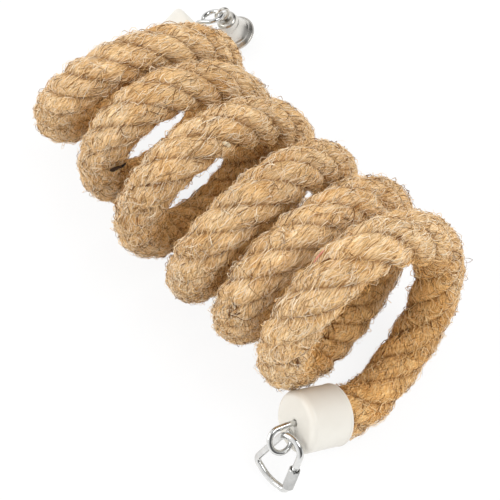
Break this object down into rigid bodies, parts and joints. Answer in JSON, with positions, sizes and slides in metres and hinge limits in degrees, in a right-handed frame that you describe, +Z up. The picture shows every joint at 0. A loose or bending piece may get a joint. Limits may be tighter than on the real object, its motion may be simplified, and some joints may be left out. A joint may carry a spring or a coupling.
{
  "type": "spiral rope perch",
  "caption": "Slack spiral of thick golden jute rope with ivory end caps, a quick link for hanging and a small bright bell, for pet birds",
  "frame": {"origin": "On the floor, at the flat under the middle of the spiral where a loop of the rope rests", "axes": "+X runs along the spiral to the end with the quick link, +Y across it to the side the bell lies on, +Z up"},
  "size_m": [0.2846, 0.1899, 0.1252],
  "materials": {
    "jute": "coarse laid jute rope, golden tan with loose fibres",
    "ivory_plastic": "smooth ivory plastic with a soft sheen",
    "bright_zinc": "bright plated wire and sheet",
    "plain_steel": "plain steel, hidden inside"
  },
  "bodies": {
    "perch": {"rope": "jute", "core_wire": "plain_steel", "hang_cap": "ivory_plastic", "hang_eye": "bright_zinc", "hang_washer": "plain_steel", "hang_nut": "plain_steel"},
    "link": {"quick_link": "bright_zinc"},
    "sleeve": {"link_sleeve": "bright_zinc"},
    "bell_end": {"bell_cap": "ivory_plastic", "bell_eye": "bright_zinc", "bell_washer": "plain_steel", "bell_nut": "plain_steel"},
    "bell": {"bell_shell": "bright_zinc", "bell_loop": "bright_zinc"},
    "striker": {"clapper": "plain_steel"}
  },
  "joints": [
    {"name": "spiral_stretch", "type": "slide", "parent": "perch", "child": "bell_end", "axis": [-1, 0, 0], "range_m": [0, 0.16], "stiffness_N_per_m": 40, "deforming": ["rope", "core_wire"]},
    {"name": "link_swing", "type": "hinge", "parent": "perch", "child": "link", "pos_m": [0.10519, -0.05955, 0.03003], "axis": [-0.6409, -0.5229, 0.5619], "range_deg": [-36, 16]},
    {"name": "sleeve_travel", "type": "slide", "parent": "link", "child": "sleeve", "axis": [-0.191, 0.4859, 0.8529], "range_m": [0, 0.006]},
    {"name": "bell_swing", "type": "hinge", "parent": "bell_end", "child": "bell", "pos_m": [-0.13427, 0.08859, 0.03214], "axis": [-0.8813, 0.3215, -0.3463], "range_deg": [-85, 24]},
    {"name": "clapper_swing", "type": "hinge", "parent": "bell", "child": "striker", "pos_m": [-0.13321, 0.09358, 0.0204], "axis": [-0.1907, -0.897, -0.3987], "range_deg": [-26, 26]}
  ]
}
